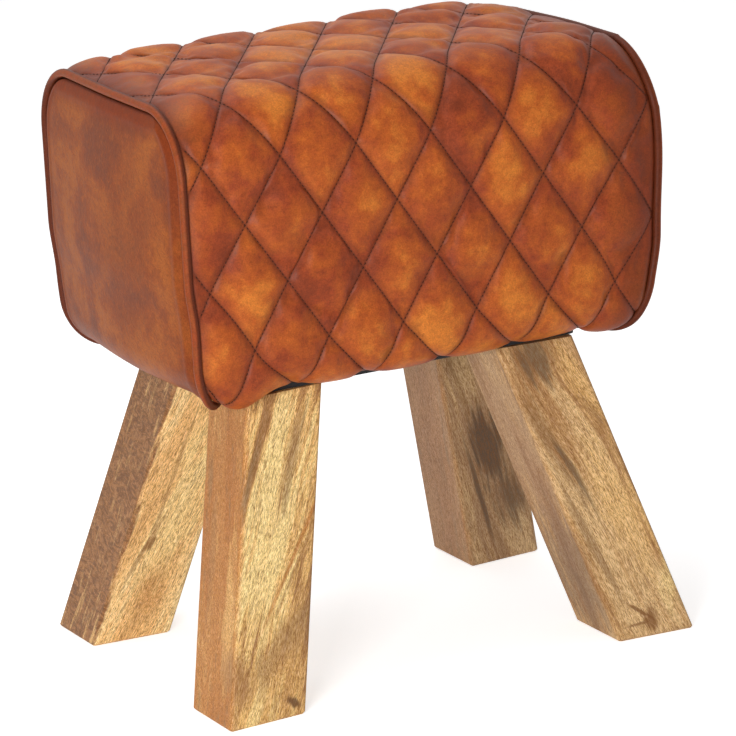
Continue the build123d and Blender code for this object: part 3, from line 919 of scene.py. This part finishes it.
def build_cover():
    """The quilted cover on a mesh that follows its own diagonal lattice."""
    shares = np.arange(diamond_steps) / diamond_steps
    shares = shares - step_crowding * np.sin(2 * math.pi * shares) / (2 * math.pi)
    sideways = 2 * cover_end / diamond_width
    low = math.floor((-front_row / diamond_half_height - sideways) / 2) - 1
    high = math.ceil(((wrap.length - front_row) / diamond_half_height + sideways) / 2) + 1
    lines = (np.arange(low, high)[:, None] + shares[None, :]).ravel()
    u, v = np.meshgrid(lines, lines, indexing="ij")
    x, along = lattice_place(u, v)
    limit = end_limit(np.clip(along, 0, wrap.length))
    inside = (along > 0) & (along < wrap.length) & (np.abs(x) < limit)
    touched = inside[:-1, :-1] | inside[1:, :-1] | inside[1:, 1:] | inside[:-1, 1:]
    touched = touched.ravel()
    faces = grid_faces(*u.shape)[touched]
    along = np.clip(along, 0, wrap.length)
    x = np.clip(x, -limit, limit)
    cell_u, cell_v = np.floor(u), np.floor(v)
    flat_u, flat_v = u - cell_u, v - cell_v
    across = diamond_width * diamond_half_height / diamond_side
    near_u = np.minimum(flat_u, 1 - flat_u)
    near_v = np.minimum(flat_v, 1 - flat_v)
    groove = np.minimum(near_u, near_v) * across
    puff = pillow(flat_u, flat_v)
    puff = puff * (press_start_share + press_uneven_share * chance(u, v, 4))
    puff = puff - seam_sink / pillow_rise * np.exp(-groove / seam_sink_reach)
    points = cover_point(x, along, puff).reshape(-1, 3)
    used, faces = np.unique(faces, return_inverse=True)
    faces = faces.reshape(-1, 4)
    cover = new_piece("quilted_cover_leather", points[used], faces, quilt_leather)
    rub, tone = worn(cell_u, cell_v, flat_u, flat_v)
    write_attribute(cover, "tone", tone[:-1, :-1].ravel()[touched], "FACE")
    # How far each point lies from the cover's ends, for the darkening there, which is partly painted
    # shade; at the right end it counts half, so it reaches further
    _, height, _, _ = wrap.at(along)
    calm = calm_left_end * below(height, calm_top, calm_spread)
    end_gap = np.where(x < 0, cover_end + x + calm, (cover_end - x) * right_end_share)
    for name, values in (("groove", groove), ("rub", rub), ("end_gap", end_gap)):
        write_attribute(cover, name, values.ravel()[used])
    on_u, on_v = (flat_u == 0).ravel()[used], (flat_v == 0).ravel()[used]
    ends = np.empty(2 * len(cover.data.edges), np.int32)
    cover.data.edges.foreach_get("vertices", ends)
    first, second = ends[::2], ends[1::2]
    seam = (on_u[first] & on_u[second]) | (on_v[first] & on_v[second])
    write_attribute(cover, "crease_edge", seam, "EDGE")
    rim = np.minimum(limit - np.abs(x), np.minimum(along, wrap.length - along)).ravel()[used]
    slack = chance(cell_u, cell_v, 5).ravel()[used]
    press(cover, on_u | on_v | (rim < press_hold), np.maximum(slack, least_slack_share))
    subdivide(cover)
    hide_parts("quilted_cover", "foam_top", "foam_front", "foam_back")


def build_stitches():
    """The thread of the quilting: short stitches along every line of the lattice."""
    pitch_share = stitch_pitch / diamond_side
    run = np.arange(-lattice_reach / pitch_share, lattice_reach / pitch_share) * pitch_share
    centres, ahead = [], []
    for fixed in range(-lattice_reach, lattice_reach):
        line = np.stack([np.full_like(run, fixed), run], axis=-1)
        centres += [line, line[:, ::-1]]
        ahead += [np.tile(way, (len(run), 1)) for way in ((0, 1), (1, 0))]
    centres, ahead = np.concatenate(centres), np.concatenate(ahead)
    x, along = lattice_place(centres[:, 0], centres[:, 1])
    keep = (along > stitch_margin) & (along < wrap.length - stitch_margin)
    keep &= np.abs(x) < end_limit(np.clip(along, 0, wrap.length)) - stitch_margin
    centres, ahead = centres[keep], ahead[keep]
    stations = np.array(stitch_station_shares) * stitch_length / diamond_side
    rings = []
    for station, height in zip(stations, (-stitch_sink, stitch_stand, stitch_stand, -stitch_sink)):
        spot = centres + ahead * station
        x, along = lattice_place(spot[:, 0], spot[:, 1])
        _, _, out_y, out_z = wrap.at(along)
        middle = cover_point(x, along, -seam_sink / pillow_rise)
        outward = np.stack([np.zeros_like(x), out_y, out_z], axis=-1)
        way_x = (ahead[:, 0] - ahead[:, 1]) * diamond_width / 2
        way = [way_x, out_z * diamond_half_height, -out_y * diamond_half_height]
        across = np.cross(unit(np.stack(way, axis=-1)), outward)
        for corner in range(stitch_sides):
            angle = 2 * math.pi * corner / stitch_sides
            raised = middle + outward * (height + stitch_radius * math.sin(angle))
            rings.append(raised + across * stitch_radius * math.cos(angle))
    points = np.stack(rings, axis=1)
    count = len(rings)
    caps = [np.arange(stitch_sides)[::-1], np.arange(count - stitch_sides, count)]
    faces = np.concatenate([ring_faces(len(stations), stitch_sides), caps])
    faces = np.arange(len(points))[:, None, None] * count + faces
    points, faces = points.reshape(-1, 3), faces.reshape(-1, 4)
    new_piece("quilting_stitches", points, faces, thread)


def rounded_path(corners, radii, step):
    """Points a step apart along straight runs joined by round bends."""
    corners = [np.array(corner, float) for corner in corners]
    points = [corners[0]]
    for before, corner, after, radius in zip(corners[:-2], corners[1:-1], corners[2:], radii):
        inward, outward = unit(before - corner), unit(after - corner)
        half_angle = math.acos(np.clip(inward @ outward, -1, 1)) / 2
        reach = radius / math.tan(half_angle)
        centre = corner + unit(inward + outward) * radius / math.sin(half_angle)
        start, end = corner + inward * reach - centre, corner + outward * reach - centre
        sweep = math.pi - 2 * half_angle
        count = max(2, round(radius * sweep / step))
        for share in np.linspace(0, 1, count + 1):
            point = start * math.sin((1 - share) * sweep) + end * math.sin(share * sweep)
            points.append(centre + point / math.sin(sweep))
    points.append(corners[-1])
    dense = [points[0]]
    for point in points[1:]:
        first = dense[-1]
        count = max(1, round(np.linalg.norm(point - first) / step))
        dense.extend(first + (point - first) * (i + 1) / count for i in range(count))
    return np.array(dense)


def tube_round(path, radius, flange=0):
    """The settled points of a tube along a path, its faces, and how far along x each point faces."""
    ahead = unit(np.gradient(path, axis=0))
    outward = path - np.array([0, 0, (seam_top + cover_underside) / 2])
    outward = unit(outward - ahead * np.sum(outward * ahead, axis=1, keepdims=True))
    across = np.cross(ahead, outward)
    angles = (np.arange(piping_sides) * 2 * math.pi / piping_sides)[:, None]
    ring = outward[:, None] * np.cos(angles) + across[:, None] * np.sin(angles)
    reach = np.full((len(path), piping_sides, 1), float(radius))
    reach[:, piping_sides // 2, 0] += flange * above(path[:, 2], piping_low, piping_turn_radius)
    points = settle(path)[:, None] + ring * reach
    faces = ring_faces(len(path), piping_sides)[:, [0, 3, 2, 1]]
    return points.reshape(-1, 3), faces, ring[..., 0].ravel()


def piping_path(side, tail):
    """The line of one end's piping, which turns under the body and ends in a straight tail."""
    reach = (piping_turn_radius + tail) / math.sqrt(2)
    in_x = piping_x - reach
    in_y = piping_y - reach
    high = seam_top - piping_inset
    upper = top_round - piping_inset
    front = [(in_x, -in_y, piping_low), (piping_x, -piping_y, piping_low), (piping_x, -piping_y, high)]
    corners = front + [(x, -y, z) for x, y, z in front[::-1]]
    path = rounded_path(corners, [piping_turn_radius, upper, upper, piping_turn_radius], piping_step)
    path[:, 0] *= side
    return path


def build_piping(name, side):
    """Leather rolled round a cord along one end's seam, its tails led on to the leg board."""
    to_board = (piping_x - margin_half_length - piping_radius) * math.sqrt(2) - piping_turn_radius
    points, faces, facing = tube_round(piping_path(side, to_board), piping_radius, piping_flange)
    piping = new_piece(f"piping_leather_{name}", points, faces, piping_leather)
    # The attribute away carries painted shade: it is low where the piping faces in towards the cover,
    # and lowered along its back run
    shade = above(points[:, 1], back_corner_from, back_corner_reach)
    write_attribute(piping, "away", side * facing - shade)
    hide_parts(f"piping_{name}")
    points, faces, _ = tube_round(piping_path(side, piping_tail_length), cord_radius)
    cord = new_piece(f"piping_cotton_{name}", points, faces, cotton)
    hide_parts(f"piping_cord_{name}")


def build_panel(name, side):
    """A plain leather end panel, crowned, that rolls under the body between its mitres."""
    under = panel_x - bottom_round - margin_half_length
    roll = bottom_round * math.pi / 2
    top = seam_top - panel_inset
    length = under + roll + (top - turn_height)
    half = half_depth - panel_inset
    corner_round = top_round - panel_inset
    low = np.linspace(0, length - corner_round, panel_rows, endpoint=False)
    turn = np.linspace(0, math.pi / 2, panel_corner_rows)
    along = np.concatenate([low, length - corner_round * (1 - np.sin(turn))])
    rolled = np.clip((along - under) / bottom_round, 0, math.pi / 2)
    x = margin_half_length + np.minimum(along, under) + bottom_round * np.sin(rolled)
    z = cover_underside + bottom_round * (1 - np.cos(rolled)) + np.maximum(along - under - roll, 0)
    into_corner = np.clip(z - (top - corner_round), 0, corner_round)
    reach = half - corner_round + np.sqrt(np.maximum(corner_round**2 - into_corner**2, 0))
    reach = np.minimum(reach, x - panel_mitre)
    along, rolled, x, z, reach = (part[:, None] for part in (along, rolled, x, z, reach))
    quarter = math.pi / 2 * panel_crowding_share
    across = np.sin(np.linspace(-1, 1, panel_columns) * quarter) / math.sin(quarter)
    y = reach * across
    crown = 1 - (2 * along / (length + panel_inset) - 1) ** 2
    lift = panel_crown * (1 - (y / half_depth) ** 2) * crown
    rim = np.maximum(np.minimum(reach - np.abs(y), top - z), 0)
    edge = panel_edge_rise * (1 - np.exp(-rim / panel_edge_reach))
    edge = edge + panel_lip * hump(rim, panel_lip_place, panel_lip_spread)
    lift = lift + edge * above(along, 0, under + 2 * roll)
    lift = lift - panel_roll_draw * np.sin(2 * rolled) * above(rim, 0, panel_roll_reach)
    lift = lift - panel_tuck * np.exp(-rim / panel_tuck_reach)
    x = side * (x + np.sin(rolled) * lift)
    z = z - np.cos(rolled) * lift
    points = settle(np.stack([x, y, z], axis=-1)).reshape(-1, 3)
    faces = grid_faces(len(along), panel_columns)
    if side > 0:
        faces = faces[:, ::-1]
    panel = new_piece(f"end_panel_leather_{name}", points, faces, panel_leather)
    write_attribute(panel, "rim", rim.ravel())
    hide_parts(f"end_panel_{name}", f"foam_end_{name}")


def build_dust_cover():
    """Black cloth wrapped tight over the leg board's underside and edges."""
    half_x = leg_board_length / 2 + cloth / 2
    half_y = leg_board_depth / 2 + cloth / 2
    corner = leg_board_corner + cloth / 2
    outline = []
    for sign_x, sign_y, start in ((1, 1, 0), (-1, 1, 90), (-1, -1, 180), (1, -1, 270)):
        for step in range(sheet_corner_steps + 1):
            angle = math.radians(start + 90 * step / sheet_corner_steps)
            x = sign_x * (half_x - corner) + corner * math.cos(angle)
            outline.append((x, sign_y * (half_y - corner) + corner * math.sin(angle)))
    outline = np.array(outline)
    low = np.full(len(outline), leg_height + cloth / 2)
    rings = [np.column_stack([outline * share, low]) for share in np.linspace(0, 1, sheet_rings)]
    edge_low, edge_high = leg_height + 2 * cloth, carcass_bottom - sheet_clearance
    for height in np.linspace(edge_low, edge_high, sheet_edge_rings):
        rings.append(np.column_stack([outline, np.full(len(outline), height)]))
    faces = ring_faces(len(rings), len(outline))
    sheet = new_piece("dust_cover_cambric", np.concatenate(rings), faces, cambric)
    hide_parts("dust_cover")


build_cover()
build_stitches()
for name, side in (("left", -1), ("right", 1)):
    build_piping(name, side)
    build_panel(name, side)
build_dust_cover()

# Floor, light and camera
floor_size = 9
corners = [(x * floor_size, y * floor_size, 0) for x, y in ((-1, -1), (1, -1), (1, 1), (-1, 1))]
floor_mesh = bpy.data.meshes.new("floor")
floor_mesh.from_pydata(corners, [], [(0, 1, 2, 3)])
floor = bpy.data.objects.new("floor", floor_mesh)
bpy.context.scene.collection.objects.link(floor)
floor_shade = 0.88
floor_glow = 0.61
world_level = 0.36

n = Surface("floor")
n.set(Base_Color=(floor_shade, floor_shade, floor_shade, 1), Roughness=0.85, Specular_IOR_Level=0.1)
n.set(Emission_Color=(1, 1, 1, 1), Emission_Strength=n.strength(0, floor_glow))
floor_mesh.materials.append(n.material)

world = bpy.data.worlds.new("studio")
world.use_nodes = True
bpy.context.scene.world = world
background = world.node_tree.nodes["Background"]
background.inputs["Color"].default_value = (1, 1, 1, 1)
n = Nodes(world.node_tree)
n.feed(background.inputs["Strength"], n.strength(world_level, 1))

# The soft lamps, which face the stool: each one's place and size in metres, and its power in watts
lamps = {
    "top_light": ((-0.3, 0.4, 1.9), (1.6, 1.2), 14),
    "front_light": ((-1.6, -1.7, 0.7), (0.7, 0.7), 39),
    "left_light": ((-2.1, -0.3, 0.7), (1.4, 1.4), 2),
}
lamp_aim = Vector((0, 0, 0.25))
for name, (place, size, power) in lamps.items():
    light = bpy.data.lights.new(name, "AREA")
    light.shape = "RECTANGLE"
    light.size, light.size_y = size
    light.energy = power
    lamp = bpy.data.objects.new(name, light)
    lamp.location = place
    lamp.rotation_euler = (lamp_aim - Vector(place)).to_track_quat("-Z", "Y").to_euler()
    bpy.context.scene.collection.objects.link(lamp)

# The camera, as fitted to the photograph
camera_azimuth = math.radians(-27.33)
camera_height = math.radians(15.71)
camera_roll = math.radians(-3.02)
camera_scale = 0.971
camera_distance = 3756.9 * camera_scale
camera_target = Vector((-48.9, -124.2, 250.2)) * camera_scale
focal_pixels = 4928.4
principal = (376.4, 370.3)
picture = 736
flat_share = math.cos(camera_height)
back_x = math.sin(camera_azimuth) * flat_share
back_y = -math.cos(camera_azimuth) * flat_share
back = Vector((back_x, back_y, math.sin(camera_height)))
right = (-back).cross(Vector((0, 0, 1))).normalized()
up = right.cross(-back)
turned_right = math.cos(camera_roll) * right + math.sin(camera_roll) * up
turned_up = -math.sin(camera_roll) * right + math.cos(camera_roll) * up
camera_data = bpy.data.cameras.new("camera")
camera_data.sensor_width = 36
camera_data.lens = camera_data.sensor_width * focal_pixels / picture
camera_data.shift_x = (picture / 2 - principal[0]) / picture
camera_data.shift_y = (principal[1] - picture / 2) / picture
camera = bpy.data.objects.new("camera", camera_data)
turn = Matrix((turned_right, turned_up, back)).transposed().to_4x4()
camera.matrix_world = Matrix.Translation((camera_target + back * camera_distance) * MM) @ turn
bpy.context.scene.collection.objects.link(camera)
bpy.context.scene.camera = camera
bpy.context.scene.view_settings.view_transform = "Standard"
